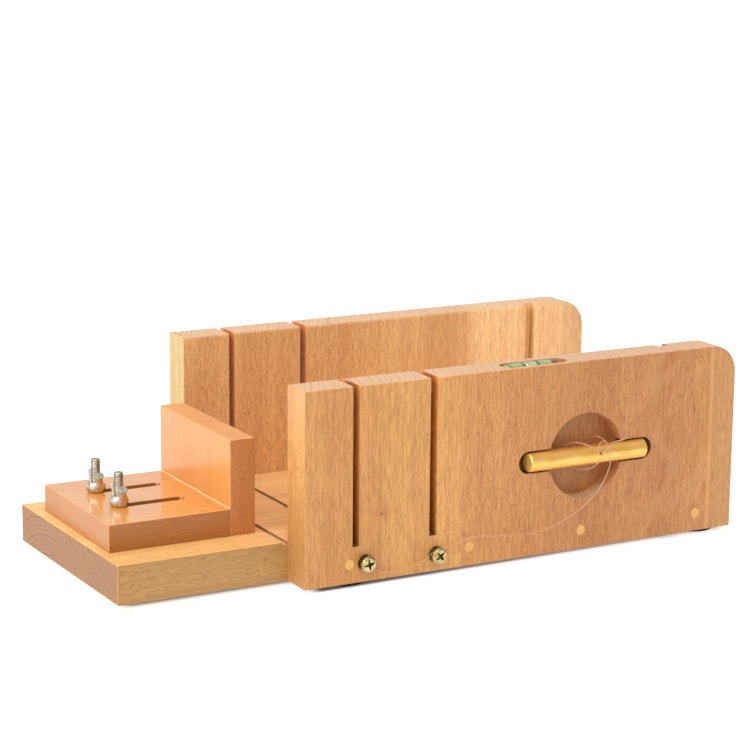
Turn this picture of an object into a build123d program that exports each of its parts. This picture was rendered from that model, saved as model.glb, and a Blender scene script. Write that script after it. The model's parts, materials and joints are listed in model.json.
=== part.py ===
from build123d import *
import math
import os

# Soap cutter: an open-ended wooden channel on a base board. A loaf lies in the channel against an
# adjustable stop, and a wire tied to a brass pull rod is drawn up through a kerf in both walls.
# Frame: millimetres, +Z up, +X along the channel away from the stop, +Y towards the rear wall.
# Origin: the middle of the footprint, at the level the feet stand on.

# ---- overall -------------------------------------------------------------------------------------
foot_h = 2.8                    # rubber foot thickness
board_z = foot_h                # underside of the boards
wall_h = 100.0
wall_t = 19.0
wall_len = 256.0
channel_w = 125.5               # clear width between the walls
base_len = 347.0
base_t = 20.0
base_skew = 1.5                 # the left end is sawn a little out of square, longer at the rear
channel_y = 3.25                # middle plane of the channel
x_end = base_len / 2            # right end of the base and the rear wall
x_front_end = x_end + 2.0       # right end of the front wall, which is a little longer
x_base0 = -base_len / 2         # left end of the base
x_wall0 = x_end - wall_len      # left end of the front wall
x_rear0 = x_wall0 + 0.8         # left end of the rear wall, set in a little
y_front_in = channel_y - channel_w / 2
y_front_out = y_front_in - wall_t
y_rear_in = channel_y + channel_w / 2
y_rear_out = y_rear_in + wall_t
floor_z = board_z + base_t      # top of the base, floor of the channel
wall_top = board_z + wall_h
corner_r = 15.0                 # round upper corner at the right end

# ---- saw kerfs and grooves -----------------------------------------------------------------------
kerfs_front = ((-54.2, 3.9), (-10.3, 4.3))       # x, width
kerfs_rear = ((-53.2, 3.6), (-10.0, 4.1))        # the same two cuts, a touch askew
groove_x, groove_w, groove_d = 136.9, 6.2, 5.5   # divider groove, inner faces only
score_x, score_w, score_d = -83.9, 3.0, 1.4      # shallow cross cuts in the base top
kerf_z = floor_z - score_d      # bottom of the kerfs, level with the scores in the floor

# ---- wall dowels ---------------------------------------------------------------------------------
dowel_r = 2.5
dowel_xs = (-57.7, 11.1, 78.8, 152.0)
dowel_z = 12.6
dowel_in_base = 25.0

# ---- pull rod and its recess ---------------------------------------------------------------------
pocket_x, pocket_z, pocket_r, pocket_d = 80.9, 52.5, 22.7, 10.0
slot_x0, slot_x1, slot_r, slot_d = 40.0, 122.0, 5.9, 6.0
rod_x0, rod_x1, rod_r = 45.4, 117.0, 5.0
rod_y, rod_z = y_front_out + 0.8, 52.5
rod_hole_x, rod_hole_r = 87.6, 0.9

# ---- spirit level --------------------------------------------------------------------------------
level_x0, level_x1, level_slot_r = 32.7, 71.6, 5.2
level_y, level_slot_d = -70.8, 8.4
tube_x0, tube_x1, tube_r, tube_bore_r = 35.7, 66.3, 4.6, 4.15
tube_z = wall_top - level_slot_d + tube_r
tube_end_wall = 4.2
plug_len = 2.7

# ---- wire screws ---------------------------------------------------------------------------------
screws = ((-49.0, 12.6), (-8.5, 11.4))           # x, z
screw_turns = (10.0, 38.0)      # how each cross recess is turned
screw_head_r, screw_head_h = 4.1, 2.3
screw_stand = 5.0               # front of the head, proud of the wall
screw_shank_r = 2.0
screw_len = 24.0
screw_washer_r, screw_washer_t = 4.3, 0.7

# ---- adjustable stop -----------------------------------------------------------------------------
plate_x0, plate_x1 = -168.9, -103.7
upright_x1 = -89.8
stop_y0, stop_y1 = -38.0, 48.0
plate_t = 14.1
upright_h = 49.4
stop_slot_x0, stop_slot_x1, stop_slot_w = -153.9, -115.0, 6.0
clamp_x = -150.7
clamp_ys = (-7.6, 22.7)
stop_travel = 32.5
plate_top = floor_z + plate_t
stop_dowel_ys = (-25.6, 34.4)
stop_dowel_r, stop_dowel_len = 3.0, 36.0

# ---- clamp bolts and wing nuts -------------------------------------------------------------------
bolt_r = 2.45
bolt_top = 54.5
bolt_head_r, bolt_head_t = 4.7, 2.7
bolt_seat_z = board_z + 4.0     # top of the counterbore in the base underside
clamp_washer_r, clamp_washer_t = 5.0, 0.9
nut_r = 4.95
nut_bore_r = bolt_r + 0.04

# ---- rubber feet ---------------------------------------------------------------------------------
foot_r = 11.0
feet = ((-53.5, -63.5), (161.0, -63.5), (-53.5, 70.5), (161.0, 70.5))

# ---- cutting wire --------------------------------------------------------------------------------
wire_d = 0.7

os.makedirs("parts", exist_ok=True)


def plane_y(y):
    """A sketch plane at this Y that looks along -Y: local x is +X, local y is +Z."""
    return Plane(origin=(0, y, 0), x_dir=(1, 0, 0), z_dir=(0, -1, 0))


# ---- base board ----------------------------------------------------------------------------------
with BuildPart() as base_board:
    with BuildSketch(Plane.XY.offset(board_z)):
        with BuildLine():
            Polyline((x_base0, y_front_in), (x_end, y_front_in), (x_end, y_rear_in), (x_base0 - base_skew, y_rear_in), close=True)
        make_face()
    extrude(amount=base_t)
    left_face = base_board.faces().sort_by(Axis.X)[0]
    long_top = base_board.edges().filter_by(Axis.X).group_by(Axis.Z)[-1]
    fillet(left_face.edges() + long_top, radius=0.7)
    # the kerfs run on as shallow scores across the floor, with one more just outside the walls
    with BuildSketch(Plane.XY.offset(floor_z)):
        for x, w in kerfs_front + ((score_x, score_w),):
            with Locations((x, channel_y)):
                Rectangle(w, channel_w + 2)
    extrude(amount=-score_d, mode=Mode.SUBTRACT)
    # blind holes for the wall dowels, from both long edges
    for y, d in ((y_front_in, -1), (y_rear_in, 1)):
        with BuildSketch(plane_y(y)):
            with Locations(*[(x, dowel_z) for x in dowel_xs]):
                Circle(dowel_r)
        extrude(amount=d * dowel_in_base, mode=Mode.SUBTRACT)
    # pilot holes for the wire screws' points
    with BuildSketch(plane_y(y_front_in)):
        with Locations(*screws):
            Circle(screw_shank_r + 0.03)
    extrude(amount=-8.0, mode=Mode.SUBTRACT)
    # clamp bolts: clear holes with counterbored heads underneath
    with BuildSketch(Plane.XY.offset(board_z)):
        with Locations(*[(clamp_x, y) for y in clamp_ys]):
            Circle(bolt_r + 0.05)
    extrude(amount=base_t, mode=Mode.SUBTRACT)
    with BuildSketch(Plane.XY.offset(board_z)):
        with Locations(*[(clamp_x, y) for y in clamp_ys]):
            Circle(clamp_washer_r + 0.4)
    extrude(amount=bolt_seat_z - board_z, mode=Mode.SUBTRACT)


# ---- walls ---------------------------------------------------------------------------------------
def wall_blank(y_in, y_out, inward, start, end, kerfs):
    """One wall with its round upper end corner, kerfs, divider groove and dowel holes."""
    y_low = min(y_in, y_out)
    with BuildPart() as wall:
        with BuildSketch(plane_y(y_low)):
            with Locations(((start + end) / 2, board_z + wall_h / 2)):
                Rectangle(end - start, wall_h)
            fillet(vertices().group_by(Axis.X)[-1].sort_by(Axis.Y)[-1], radius=corner_r)
        extrude(amount=-wall_t)
        arris = wall.edges().filter_by(Axis.Z).group_by(Axis.X)[-1]
        fillet(arris, radius=1.2)
        with BuildSketch(plane_y(y_low)):
            for x, w in kerfs:
                with Locations((x, (kerf_z + wall_top + 5) / 2)):
                    Rectangle(w, wall_top + 5 - kerf_z)
        extrude(amount=-wall_t, mode=Mode.SUBTRACT)
        with BuildSketch(plane_y(y_in)):
            with Locations((groove_x, (floor_z + wall_top + 5) / 2)):
                Rectangle(groove_w, wall_top + 5 - floor_z)
        extrude(amount=inward * groove_d, mode=Mode.SUBTRACT)
        with BuildSketch(plane_y(y_low)):
            with Locations(*[(x, dowel_z) for x in dowel_xs]):
                Circle(dowel_r)
        extrude(amount=-wall_t, mode=Mode.SUBTRACT)
    return wall


rear_wall = wall_blank(y_rear_in, y_rear_out, -1, x_rear0, x_end, kerfs_rear)
front_blank = wall_blank(y_front_in, y_front_out, 1, x_wall0, x_front_end, kerfs_front)

with BuildPart() as front_wall:
    add(front_blank.part)
    # round finger pocket with the rod's slot across it
    with BuildSketch(plane_y(y_front_out)):
        with Locations((pocket_x, pocket_z)):
            Circle(pocket_r)
    extrude(amount=-pocket_d, mode=Mode.SUBTRACT)
    with BuildSketch(plane_y(y_front_out)):
        with Locations(((slot_x0 + slot_x1) / 2, pocket_z)):
            SlotOverall(slot_x1 - slot_x0, 2 * slot_r)
    extrude(amount=-slot_d, mode=Mode.SUBTRACT)
    # slot for the spirit level in the top edge
    with BuildSketch(Plane.XY.offset(wall_top)):
        with Locations(((level_x0 + level_x1) / 2, level_y)):
            SlotOverall(level_x1 - level_x0, 2 * level_slot_r)
    extrude(amount=-level_slot_d, mode=Mode.SUBTRACT)
    # pilot holes for the wire screws
    with BuildSketch(plane_y(y_front_out)):
        with Locations(*screws):
            Circle(screw_shank_r + 0.03)
    extrude(amount=-wall_t, mode=Mode.SUBTRACT)

# ---- dowels, flush with the walls' outer faces ---------------------------------------------------
with BuildPart() as front_wall_dowels:
    with BuildSketch(plane_y(y_front_out)):
        with Locations(*[(x, dowel_z) for x in dowel_xs]):
            Circle(dowel_r)
    extrude(amount=-(wall_t + dowel_in_base - 1.0))

with BuildPart() as rear_wall_dowels:
    with BuildSketch(plane_y(y_rear_out)):
        with Locations(*[(x, dowel_z) for x in dowel_xs]):
            Circle(dowel_r)
    extrude(amount=wall_t + dowel_in_base - 1.0)

# ---- stick-on rubber feet ------------------------------------------------------------------------
with BuildPart() as rubber_feet:
    with BuildSketch(Plane.XY):
        with Locations(*feet):
            Circle(foot_r)
    extrude(amount=foot_h)
    fillet(rubber_feet.edges().group_by(Axis.Z)[0], radius=0.6)

# ---- spirit level: clear tube, coloured liquid with an air bubble, end plug ----------------------
with BuildPart() as level_tube:
    with BuildSketch(Plane.YZ.offset(tube_x0)):
        with Locations((level_y, tube_z)):
            Circle(tube_r)
    extrude(amount=tube_x1 - tube_x0)
    fillet(level_tube.edges().group_by(Axis.X)[-1], radius=0.8)
    with BuildSketch(Plane.YZ.offset(tube_x0)):
        with Locations((level_y, tube_z)):
            Circle(tube_bore_r)
    extrude(amount=tube_x1 - tube_x0 - tube_end_wall, mode=Mode.SUBTRACT)

with BuildPart() as level_end_plug:
    with BuildSketch(Plane.YZ.offset(tube_x0)):
        with Locations((level_y, tube_z)):
            Circle(tube_bore_r)
    extrude(amount=plug_len)
    with BuildSketch(Plane.YZ.offset(tube_x0)):
        with Locations((level_y, tube_z)):
            Circle(tube_bore_r + 0.1)
    extrude(amount=-0.6)

bubble_x0, bubble_x1 = 46.7, 52.7
with BuildPart() as level_liquid:
    with BuildSketch(Plane.YZ.offset(tube_x0 + plug_len)):
        with Locations((level_y, tube_z)):
            Circle(tube_bore_r)
    extrude(amount=tube_x1 - tube_x0 - tube_end_wall - plug_len)
    with BuildSketch(Plane.XY.offset(tube_z + tube_bore_r)):
        with Locations(((bubble_x0 + bubble_x1) / 2, level_y)):
            SlotOverall(bubble_x1 - bubble_x0, 4.6)
    extrude(amount=-1.6, mode=Mode.SUBTRACT)

# ---- wire screws, standing off the wall so the wire can be wound under their heads ---------------
head_y = y_front_out - screw_stand
with BuildPart() as wire_screws:
    for x, z in screws:
        with BuildSketch(plane_y(head_y)):
            with Locations((x, z)):
                Circle(screw_head_r)
        extrude(amount=-screw_head_h)
        with BuildSketch(plane_y(head_y + screw_head_h)):
            with Locations((x, z)):
                Circle(screw_shank_r)
        extrude(amount=-(screw_len - 3.0))
        with BuildSketch(plane_y(head_y + screw_head_h + screw_len - 3.0)):
            with Locations((x, z)):
                Circle(screw_shank_r)
        extrude(amount=-3.0, taper=28)
    fronts = wire_screws.faces().group_by(Axis.Y)[0].edges()
    fillet(fronts, radius=1.1)
    # cross recesses
    for (x, z), first in zip(screws, screw_turns):
        for turn in (first, first + 90.0):
            with BuildSketch(plane_y(head_y)):
                with Locations(Location((x, z), turn)):
                    Polygon((2.75, 0.3), (0, 0.95), (-2.75, 0.3), (-2.75, -0.3), (0, -0.95), (2.75, -0.3))
            extrude(amount=-1.5, mode=Mode.SUBTRACT)

with BuildPart() as wire_screw_washers:
    with BuildSketch(plane_y(y_front_out)):
        with Locations(*screws):
            Circle(screw_washer_r)
            Circle(screw_shank_r + 0.12, mode=Mode.SUBTRACT)
    extrude(amount=screw_washer_t)

# ---- adjustable stop -----------------------------------------------------------------------------
stop_y = (stop_y0 + stop_y1) / 2
stop_w = stop_y1 - stop_y0
with BuildPart() as stop_plate:
    with BuildSketch(Plane.XY.offset(floor_z)):
        with Locations(((plate_x0 + plate_x1) / 2, stop_y)):
            Rectangle(plate_x1 - plate_x0, stop_w)
    extrude(amount=plate_t)
    outer = stop_plate.edges().group_by(Axis.X)[0]
    fillet(outer + stop_plate.edges().filter_by(Axis.X).group_by(Axis.Z)[-1], radius=0.6)
    with BuildSketch(Plane.XY.offset(floor_z)):
        for y in clamp_ys:
            with Locations(((stop_slot_x0 + stop_slot_x1) / 2, y)):
                SlotOverall(stop_slot_x1 - stop_slot_x0, stop_slot_w)
    extrude(amount=plate_t, mode=Mode.SUBTRACT)
    with BuildSketch(Plane.YZ.offset(plate_x1)):
        with Locations(*[(y, floor_z + plate_t / 2) for y in stop_dowel_ys]):
            Circle(stop_dowel_r)
    extrude(amount=-(stop_dowel_len - (upright_x1 - plate_x1)) - 1.0, mode=Mode.SUBTRACT)

with BuildPart() as stop_upright:
    with BuildSketch(Plane.XY.offset(floor_z)):
        with Locations(((plate_x1 + upright_x1) / 2, stop_y)):
            Rectangle(upright_x1 - plate_x1, stop_w)
    extrude(amount=upright_h)
    upright_top = stop_upright.edges().group_by(Axis.Z)[-1]
    fillet(upright_top + stop_upright.edges().filter_by(Axis.Z), radius=0.6)
    with BuildSketch(Plane.YZ.offset(plate_x1)):
        with Locations(*[(y, floor_z + plate_t / 2) for y in stop_dowel_ys]):
            Circle(stop_dowel_r)
    extrude(amount=upright_x1 - plate_x1, mode=Mode.SUBTRACT)

with BuildPart() as stop_dowels:
    with BuildSketch(Plane.YZ.offset(upright_x1)):
        with Locations(*[(y, floor_z + plate_t / 2) for y in stop_dowel_ys]):
            Circle(stop_dowel_r)
    extrude(amount=-stop_dowel_len)

# ---- clamp bolts, their washers and the wing nuts ------------------------------------------------
shank_z0 = bolt_seat_z - clamp_washer_t
with BuildPart() as clamp_bolts:
    with BuildSketch(Plane.XY.offset(shank_z0 - bolt_head_t)):
        with Locations(*[(clamp_x, y) for y in clamp_ys]):
            Circle(bolt_head_r)
    extrude(amount=bolt_head_t)
    fillet(clamp_bolts.edges().group_by(Axis.Z)[0], radius=0.9)
    with BuildSketch(Plane.XY.offset(shank_z0)):
        with Locations(*[(clamp_x, y) for y in clamp_ys]):
            Circle(bolt_r)
    extrude(amount=bolt_top - shank_z0)
    chamfer(clamp_bolts.edges().group_by(Axis.Z)[-1], length=0.4)
    with BuildSketch(Plane.XY.offset(shank_z0 - bolt_head_t)):
        for y in clamp_ys:
            for turn in (0.0, 90.0):
                with Locations(Location((clamp_x, y), turn)):
                    Rectangle(5.0, 1.15)
    extrude(amount=1.6, mode=Mode.SUBTRACT)

with BuildPart() as clamp_bolt_washers:
    with BuildSketch(Plane.XY.offset(shank_z0)):
        with Locations(*[(clamp_x, y) for y in clamp_ys]):
            Circle(clamp_washer_r)
            Circle(bolt_r + 0.15, mode=Mode.SUBTRACT)
    extrude(amount=clamp_washer_t)


def wing_nut(y):
    """Squat ball of a hub with two horns that lean out and end in flat round pads."""
    hub = Plane(origin=(clamp_x, y, plate_top), x_dir=(1, 0, 0), z_dir=(0, -1, 0))
    with BuildPart() as nut:
        with BuildSketch(hub):
            with BuildLine():
                Polyline((0, 0), (nut_r - 1.3, 0))
                Spline((nut_r - 1.3, 0), (nut_r - 0.25, 1.5), (nut_r, 3.0), (nut_r - 0.4, 4.5), (nut_r - 1.5, 5.9),
                       tangents=((0.8, 0.6), (-0.8, 0.6)))
                Polyline((nut_r - 1.5, 5.9), (0, 5.9), (0, 0))
            make_face()
        revolve(axis=Axis((clamp_x, y, plate_top), (0, 0, 1)))
        for s in (1, -1):
            # sections along the horn: distance out, height, lean of the section's normal, half width, half depth
            for out, high, lean, wide, deep in ((3.4, 2.6, 62, 2.0, 1.3), (4.75, 6.2, 66, 1.6, 1.2), (5.7, 8.6, 55, 1.8, 1.5), (6.4, 9.9, 42, 2.1, 1.95)):
                normal = (0, s * math.cos(math.radians(lean)), math.sin(math.radians(lean)))
                with BuildSketch(Plane(origin=(clamp_x, y + s * out, plate_top + high), x_dir=(1, 0, 0), z_dir=normal)):
                    Ellipse(wide, deep)
            loft()
        with BuildSketch(Plane.XY.offset(plate_top)):
            with Locations((clamp_x, y)):
                Circle(nut_bore_r)
        extrude(amount=20, mode=Mode.SUBTRACT)
    return nut


near_wing_nut = wing_nut(clamp_ys[0])
far_wing_nut = wing_nut(clamp_ys[1])

# ---- brass pull rod ------------------------------------------------------------------------------
with BuildPart() as handle_rod:
    with BuildSketch(Plane.YZ.offset(rod_x0)):
        with Locations((rod_y, rod_z)):
            Circle(rod_r)
    extrude(amount=rod_x1 - rod_x0)
    chamfer(handle_rod.edges(), length=0.6)
    with BuildSketch(plane_y(rod_y - rod_r - 1)):
        with Locations((rod_hole_x, rod_z + 1.2)):
            Circle(rod_hole_r)
    extrude(amount=-(2 * rod_r + 2), mode=Mode.SUBTRACT)

# ---- cutting wire --------------------------------------------------------------------------------
# From the short end at the left screw, once round its shank, along the wall, twice round the right
# screw's shank, in a slack bow up to the rod, over it and down behind it, forward through the cross
# hole, once loosely round the rod, then a small curl in front of the hole, and out as a tail.
wire_route = [
    (-44.10, -80.60, 11.70), (-45.40, -80.45, 13.70), (-47.47, -80.30, 15.30), (-50.40, -80.20, 15.35),
    (-52.10, -80.20, 12.75), (-50.60, -80.20, 9.90), (-46.40, -80.30, 8.80), (-41.00, -80.60, 7.30),
    (-34.00, -80.90, 6.10), (-25.50, -81.00, 6.70), (-18.50, -80.60, 8.60), (-13.60, -80.00, 10.60),
    (-11.15, -79.68, 12.93), (-8.50, -79.72, 14.46), (-5.85, -79.86, 12.93), (-5.85, -80.02, 9.87),
    (-8.50, -80.18, 8.34), (-11.15, -80.34, 9.87), (-11.15, -80.50, 12.93), (-8.50, -80.64, 14.46),
    (-4.90, -80.80, 14.50), (0.40, -81.00, 15.60), (7.00, -81.30, 18.10), (15.50, -81.70, 18.60),
    (27.00, -82.20, 17.10), (41.00, -82.80, 15.90), (55.00, -83.40, 17.40), (67.50, -84.00, 21.90),
    (78.70, -84.60, 28.70), (86.30, -85.00, 36.60), (90.90, -84.80, 44.20), (92.50, -84.40, 50.80),
    (91.70, -83.60, 56.40), (89.80, -82.70, 60.20), (87.50, -80.60, 62.00), (87.30, -77.20, 61.90),
    (88.20, -73.90, 60.70), (88.40, -71.30, 58.90), (87.90, -69.85, 56.40), (87.60, -71.25, 53.62),
    (87.63, -75.60, 53.78), (87.57, -79.90, 53.62), (87.60, -84.50, 53.74), (84.85, -85.45, 51.05),
    (83.30, -83.90, 47.90), (80.90, -80.70, 45.40), (77.80, -76.60, 44.70), (74.70, -73.00, 46.30),
    (72.40, -70.80, 49.70), (71.40, -70.50, 54.00), (71.50, -72.80, 57.60), (72.60, -76.60, 59.90),
    (74.70, -80.60, 60.50), (77.50, -83.60, 59.70), (80.30, -84.90, 58.00), (83.00, -85.00, 55.90),
    (86.30, -84.90, 54.90), (89.30, -84.95, 56.20), (89.90, -85.00, 59.20), (87.60, -85.10, 61.10),
    (84.80, -85.30, 60.50), (83.50, -85.80, 57.60), (86.00, -86.00, 55.10), (89.20, -86.00, 56.60),
    (91.80, -85.70, 59.20), (95.40, -85.30, 59.90), (99.40, -84.80, 60.20), (103.30, -84.40, 60.90),
]


def corner_radii(points):
    """0.45 of the shorter run beside each corner, over the tangent of half its turn."""
    radii = []
    for a, b, c in zip(points, points[1:], points[2:]):
        u, v = Vector(b) - Vector(a), Vector(c) - Vector(b)
        half = math.radians(u.get_angle(v)) / 2
        radii.append(0.45 * min(u.length, v.length) / math.tan(half))
    return radii


wire_radii = corner_radii(wire_route)
print("wire radii", [round(r, 2) for r in wire_radii])
runs = [(Vector(b) - Vector(a)).length for a, b in zip(wire_route, wire_route[1:])]
print("wire runs", [round(r, 2) for r in runs])
print("run ratio", round(max(max(a / b, b / a) for a, b in zip(runs, runs[1:])), 2))
turns = [(Vector(b) - Vector(a)).get_angle(Vector(c) - Vector(b)) for a, b, c in zip(wire_route, wire_route[1:], wire_route[2:])]
print("largest turn", round(max(turns), 1))

with BuildPart() as cutting_wire:
    with BuildLine() as wire_path:
        FilletPolyline(*wire_route, radius=wire_radii)
    start_dir = Vector(wire_route[1]) - Vector(wire_route[0])
    with BuildSketch(Plane(origin=wire_route[0], z_dir=start_dir)):
        Circle(wire_d / 2)
    sweep(path=wire_path.wire())
wire_length = wire_path.wire().length
print("wire length", round(wire_length, 1), "volume", round(cutting_wire.part.volume, 2),
      "expected", round(math.pi * (wire_d / 2) ** 2 * wire_length, 2))

# ---- write each piece ----------------------------------------------------------------------------
base_board.part.label = "base_board"
export_step(base_board.part, "parts/base_board.step")
front_wall.part.label = "front_wall"
export_step(front_wall.part, "parts/front_wall.step")
rear_wall.part.label = "rear_wall"
export_step(rear_wall.part, "parts/rear_wall.step")
front_wall_dowels.part.label = "front_wall_dowels"
export_step(front_wall_dowels.part, "parts/front_wall_dowels.step")
rear_wall_dowels.part.label = "rear_wall_dowels"
export_step(rear_wall_dowels.part, "parts/rear_wall_dowels.step")
rubber_feet.part.label = "rubber_feet"
export_step(rubber_feet.part, "parts/rubber_feet.step")
level_tube.part.label = "level_tube"
export_step(level_tube.part, "parts/level_tube.step")
level_end_plug.part.label = "level_end_plug"
export_step(level_end_plug.part, "parts/level_end_plug.step")
level_liquid.part.label = "level_liquid"
export_step(level_liquid.part, "parts/level_liquid.step")
wire_screws.part.label = "wire_screws"
export_step(wire_screws.part, "parts/wire_screws.step")
wire_screw_washers.part.label = "wire_screw_washers"
export_step(wire_screw_washers.part, "parts/wire_screw_washers.step")
stop_plate.part.label = "stop_plate"
export_step(stop_plate.part, "parts/stop_plate.step")
stop_upright.part.label = "stop_upright"
export_step(stop_upright.part, "parts/stop_upright.step")
stop_dowels.part.label = "stop_dowels"
export_step(stop_dowels.part, "parts/stop_dowels.step")
clamp_bolts.part.label = "clamp_bolts"
export_step(clamp_bolts.part, "parts/clamp_bolts.step")
clamp_bolt_washers.part.label = "clamp_bolt_washers"
export_step(clamp_bolt_washers.part, "parts/clamp_bolt_washers.step")
near_wing_nut.part.label = "near_wing_nut"
export_step(near_wing_nut.part, "parts/near_wing_nut.step")
far_wing_nut.part.label = "far_wing_nut"
export_step(far_wing_nut.part, "parts/far_wing_nut.step")
handle_rod.part.label = "handle_rod"
export_step(handle_rod.part, "parts/handle_rod.step")
cutting_wire.part.label = "cutting_wire"
export_step(cutting_wire.part, "parts/cutting_wire.step")
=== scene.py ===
import json
import math
import random

import bmesh
import bpy
from mathutils import Matrix, Vector

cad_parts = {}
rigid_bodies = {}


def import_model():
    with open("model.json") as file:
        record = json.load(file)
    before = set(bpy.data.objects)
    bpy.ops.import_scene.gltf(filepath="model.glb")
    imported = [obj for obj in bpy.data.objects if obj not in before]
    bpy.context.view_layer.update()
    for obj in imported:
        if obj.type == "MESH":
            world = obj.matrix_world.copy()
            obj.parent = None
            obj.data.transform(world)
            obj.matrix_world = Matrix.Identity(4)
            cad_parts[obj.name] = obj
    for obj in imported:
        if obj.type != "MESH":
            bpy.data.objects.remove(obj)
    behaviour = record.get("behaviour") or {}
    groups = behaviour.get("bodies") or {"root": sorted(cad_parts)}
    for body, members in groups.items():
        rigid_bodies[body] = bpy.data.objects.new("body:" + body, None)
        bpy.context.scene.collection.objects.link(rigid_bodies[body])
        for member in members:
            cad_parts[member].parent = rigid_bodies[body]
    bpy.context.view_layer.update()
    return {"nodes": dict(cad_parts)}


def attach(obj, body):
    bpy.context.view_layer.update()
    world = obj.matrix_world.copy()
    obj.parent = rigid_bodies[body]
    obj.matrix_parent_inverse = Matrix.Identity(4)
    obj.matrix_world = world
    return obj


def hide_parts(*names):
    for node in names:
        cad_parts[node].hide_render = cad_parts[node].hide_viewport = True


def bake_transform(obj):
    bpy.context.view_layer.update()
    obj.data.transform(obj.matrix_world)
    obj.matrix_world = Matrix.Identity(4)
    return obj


for stray in list(bpy.data.objects):
    bpy.data.objects.remove(stray, do_unlink=True)

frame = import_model()
nodes = frame["nodes"]
scene = bpy.context.scene
MM = 0.001

# ---------------------------------------------------------------------------------------- camera
YAW, PITCH, ROLL = math.radians(28.741), math.radians(12.388), math.radians(0.4813)
forward = Vector((math.sin(YAW) * math.cos(PITCH), math.cos(YAW) * math.cos(PITCH), -math.sin(PITCH)))
right = Vector((math.cos(YAW), -math.sin(YAW), 0))
up = right.cross(forward)
cam_x = right * math.cos(ROLL) + up * math.sin(ROLL)
cam_y = -right * math.sin(ROLL) + up * math.cos(ROLL)
cam_data = bpy.data.cameras.new("camera")
cam_data.sensor_fit = "HORIZONTAL"
cam_data.sensor_width = 36.0
cam_data.lens = 114.15
cam_data.clip_start = 0.01
cam_data.clip_end = 50
cam_data.dof.use_dof = False
cam = bpy.data.objects.new("camera", cam_data)
scene.collection.objects.link(cam)
cam.matrix_world = Matrix((
    (cam_x.x, cam_y.x, -forward.x, -0.59013),
    (cam_x.y, cam_y.y, -forward.y, -1.07384),
    (cam_x.z, cam_y.z, -forward.z, 0.35674),
    (0, 0, 0, 1)))
scene.camera = cam


# ------------------------------------------------------------------------------- mesh helpers
def new_object(name, mesh, materials=()):
    o = bpy.data.objects.new(name, mesh)
    scene.collection.objects.link(o)
    for m in materials:
        mesh.materials.append(m)
    return o


def mesh_from(name, verts, faces, smooth=True):
    me = bpy.data.meshes.new(name)
    me.from_pydata([tuple(v) for v in verts], [], faces)
    me.validate()
    me.update()
    if smooth:
        me.polygons.foreach_set("use_smooth", [True] * len(me.polygons))
    return me


def tube_data(points, radius, sides=10, taper=None):
    """Vertices and faces of a closed tube whose ring centres are these points, with frames carried along the line."""
    pts = [Vector(p) for p in points]
    n = len(pts)
    tangents = []
    for i in range(n):
        a, b = pts[max(i - 1, 0)], pts[min(i + 1, n - 1)]
        tangents.append((b - a).normalized())
    ref = Vector((0, 0, 1)) if abs(tangents[0].z) < 0.9 else Vector((1, 0, 0))
    normal = tangents[0].cross(ref).normalized()
    verts, faces = [], []
    for i in range(n):
        if i:
            normal = (normal - tangents[i] * normal.dot(tangents[i])).normalized()
        other = tangents[i].cross(normal)
        r = radius * (taper[i] if taper else 1.0)
        for k in range(sides):
            a = 2 * math.pi * k / sides
            verts.append(pts[i] + (normal * math.cos(a) + other * math.sin(a)) * r)
    for i in range(n - 1):
        for k in range(sides):
            j = (k + 1) % sides
            faces.append((i * sides + k, i * sides + j, (i + 1) * sides + j, (i + 1) * sides + k))
    verts.append(pts[0])
    verts.append(pts[-1])
    a0, a1 = len(verts) - 2, len(verts) - 1
    for k in range(sides):
        j = (k + 1) % sides
        faces.append((a0, j, k))
        faces.append((a1, (n - 1) * sides + k, (n - 1) * sides + j))
    return verts, faces


def tube_mesh(name, points, radius, sides=10, taper=None):
    return mesh_from(name, *tube_data(points, radius, sides, taper))


def join_data(items):
    """Several (vertices, faces) pairs as one."""
    verts, faces = [], []
    for v, f in items:
        base = len(verts)
        verts += list(v)
        faces += [tuple(i + base for i in face) for face in f]
    return verts, faces


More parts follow.
